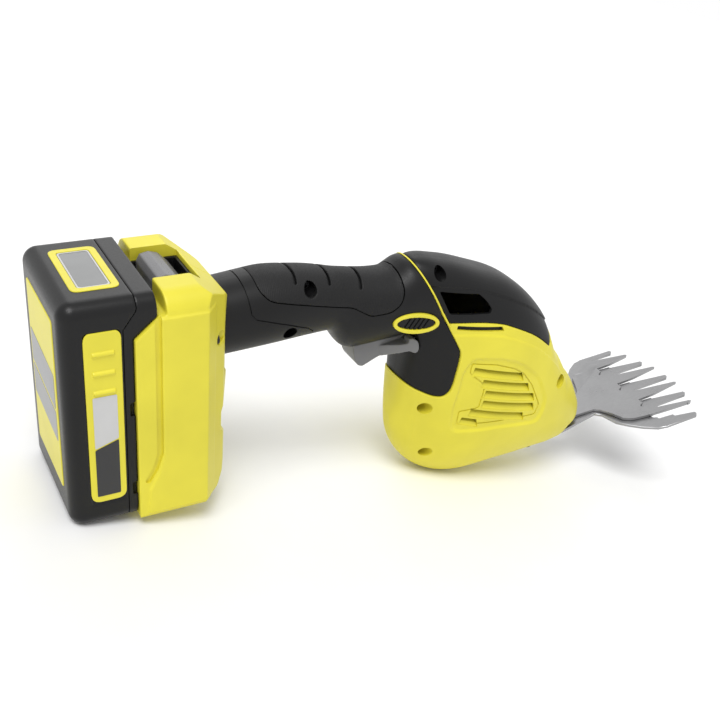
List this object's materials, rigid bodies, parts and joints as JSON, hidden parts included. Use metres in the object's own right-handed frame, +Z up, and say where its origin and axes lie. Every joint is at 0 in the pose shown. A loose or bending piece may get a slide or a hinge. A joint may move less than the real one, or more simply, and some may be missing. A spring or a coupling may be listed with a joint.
{
  "type": "cordless grass shears",
  "caption": "Hand-held cordless grass shears with a slide-in battery pack, straight soft grip, trigger and a swinging toothed blade over a fixed comb.",
  "frame": {"origin": "centre of the bounding box on the ground the tool rests on", "axes": "+X towards the blade tips, +Y to the user's left, +Z up, with the tool lying on its battery pack and the rounded belly of its head"},
  "size_m": [0.4949, 0.1012, 0.1554],
  "materials": {
    "yellow_plastic": "fine moulded texture, satin",
    "black_plastic": "fine moulded texture",
    "pack_plastic": "fine moulded texture",
    "display_plastic": "smooth gloss",
    "soft_grip": "matt soft grip",
    "grey_plastic": "satin",
    "label_film": "moulded plate, bare",
    "blade_steel": "ground satin",
    "hardware_steel": "bright zinc",
    "brass": "bare",
    "board": "lacquered",
    "cell_wrap": "shrink sleeve"
  },
  "bodies": {
    "tool_body": {"shoe_right": "yellow_plastic", "shoe_left": "yellow_plastic", "handle_right": "black_plastic", "handle_left": "black_plastic", "grip_pad": "soft_grip", "head_shell_right": "yellow_plastic", "head_shell_left": "yellow_plastic", "top_cover_right": "black_plastic", "top_cover_left": "black_plastic", "accent_band": "yellow_plastic", "lock_bezel_right": "yellow_plastic", "lock_bezel_left": "yellow_plastic", "trigger_pin": "hardware_steel", "trigger_spring": "hardware_steel", "switch_block": "black_plastic", "control_board": "board", "latch_frame": "black_plastic", "latch_spring": "hardware_steel", "terminal_block": "black_plastic", "terminal_blades": "brass", "motor_can": "hardware_steel", "motor_plate": "hardware_steel", "gear_carrier": "hardware_steel", "carrier_posts": "hardware_steel", "upper_bearing": "hardware_steel", "lower_bearing": "hardware_steel", "fixed_comb": "blade_steel", "pivot_bolt": "hardware_steel", "pivot_nut": "hardware_steel", "comb_screws": "hardware_steel", "handle_screws": "hardware_steel", "head_screws": "hardware_steel", "shoe_screws": "hardware_steel"},
    "battery": {"battery_tub": "pack_plastic", "battery_lid": "pack_plastic", "battery_cells": "cell_wrap", "cell_holders": "black_plastic", "battery_board": "board", "battery_contacts": "brass", "display_frame": "yellow_plastic", "display_window": "display_plastic", "side_label": "label_film", "rear_label": "label_film"},
    "trigger_lever": {"trigger": "grey_plastic"},
    "lock_right": {"lock_button_right": "black_plastic"},
    "lock_left": {"lock_button_left": "black_plastic"},
    "latch": {"release_button": "grey_plastic"},
    "rotor": {"motor_shaft": "hardware_steel", "pinion": "brass", "cooling_fan": "black_plastic"},
    "gear": {"gear_shaft": "hardware_steel", "drive_gear": "hardware_steel", "eccentric": "hardware_steel"},
    "blade": {"moving_blade": "blade_steel"}
  },
  "joints": [
    {"name": "battery_slide", "type": "slide", "parent": "tool_body", "child": "battery", "axis": [-0.2028, 0, 0.9792], "range_m": [0, 0.13]},
    {"name": "trigger_pivot", "type": "hinge", "parent": "tool_body", "child": "trigger_lever", "pos_m": [-0.01622, 0, 0.10486], "axis": [0, 1, 0], "range_deg": [0, 5.5], "stiffness_Nm_per_rad": 4, "springref_deg": -3.44, "deforming": ["trigger_spring"]},
    {"name": "lock_press_right", "type": "slide", "parent": "tool_body", "child": "lock_right", "axis": [0.0869, 0.9962, 0.0072], "range_m": [0, 0.0025], "stiffness_N_per_m": 2000, "springref_m": -0.001},
    {"name": "lock_press_left", "type": "slide", "parent": "tool_body", "child": "lock_left", "axis": [0.0869, -0.9962, 0.0072], "range_m": [0, 0.0025], "stiffness_N_per_m": 2000, "springref_m": -0.001},
    {"name": "latch_slide", "type": "slide", "parent": "tool_body", "child": "latch", "axis": [0.9792, 0, 0.2028], "range_m": [0, 0.004], "stiffness_N_per_m": 2000, "springref_m": -0.002, "deforming": ["latch_spring"]},
    {"name": "gear_spin", "type": "hinge", "parent": "tool_body", "child": "gear", "pos_m": [0.08144, 0, 0.03992], "axis": [-0.2967, 0, 0.955], "continuous": true},
    {"name": "motor_spin", "type": "hinge", "parent": "tool_body", "child": "rotor", "pos_m": [0.0525, 0, 0.05187], "axis": [-0.2967, 0, 0.955], "continuous": true},
    {"name": "blade_swing", "type": "hinge", "parent": "tool_body", "child": "blade", "pos_m": [0.12137, 0, 0.03274], "axis": [-0.2967, 0, 0.955], "range_deg": [-5.5, 5.5]}
  ],
  "couplings": [
    {"joint": "motor_spin", "follows": "gear_spin", "ratio": -3}
  ]
}
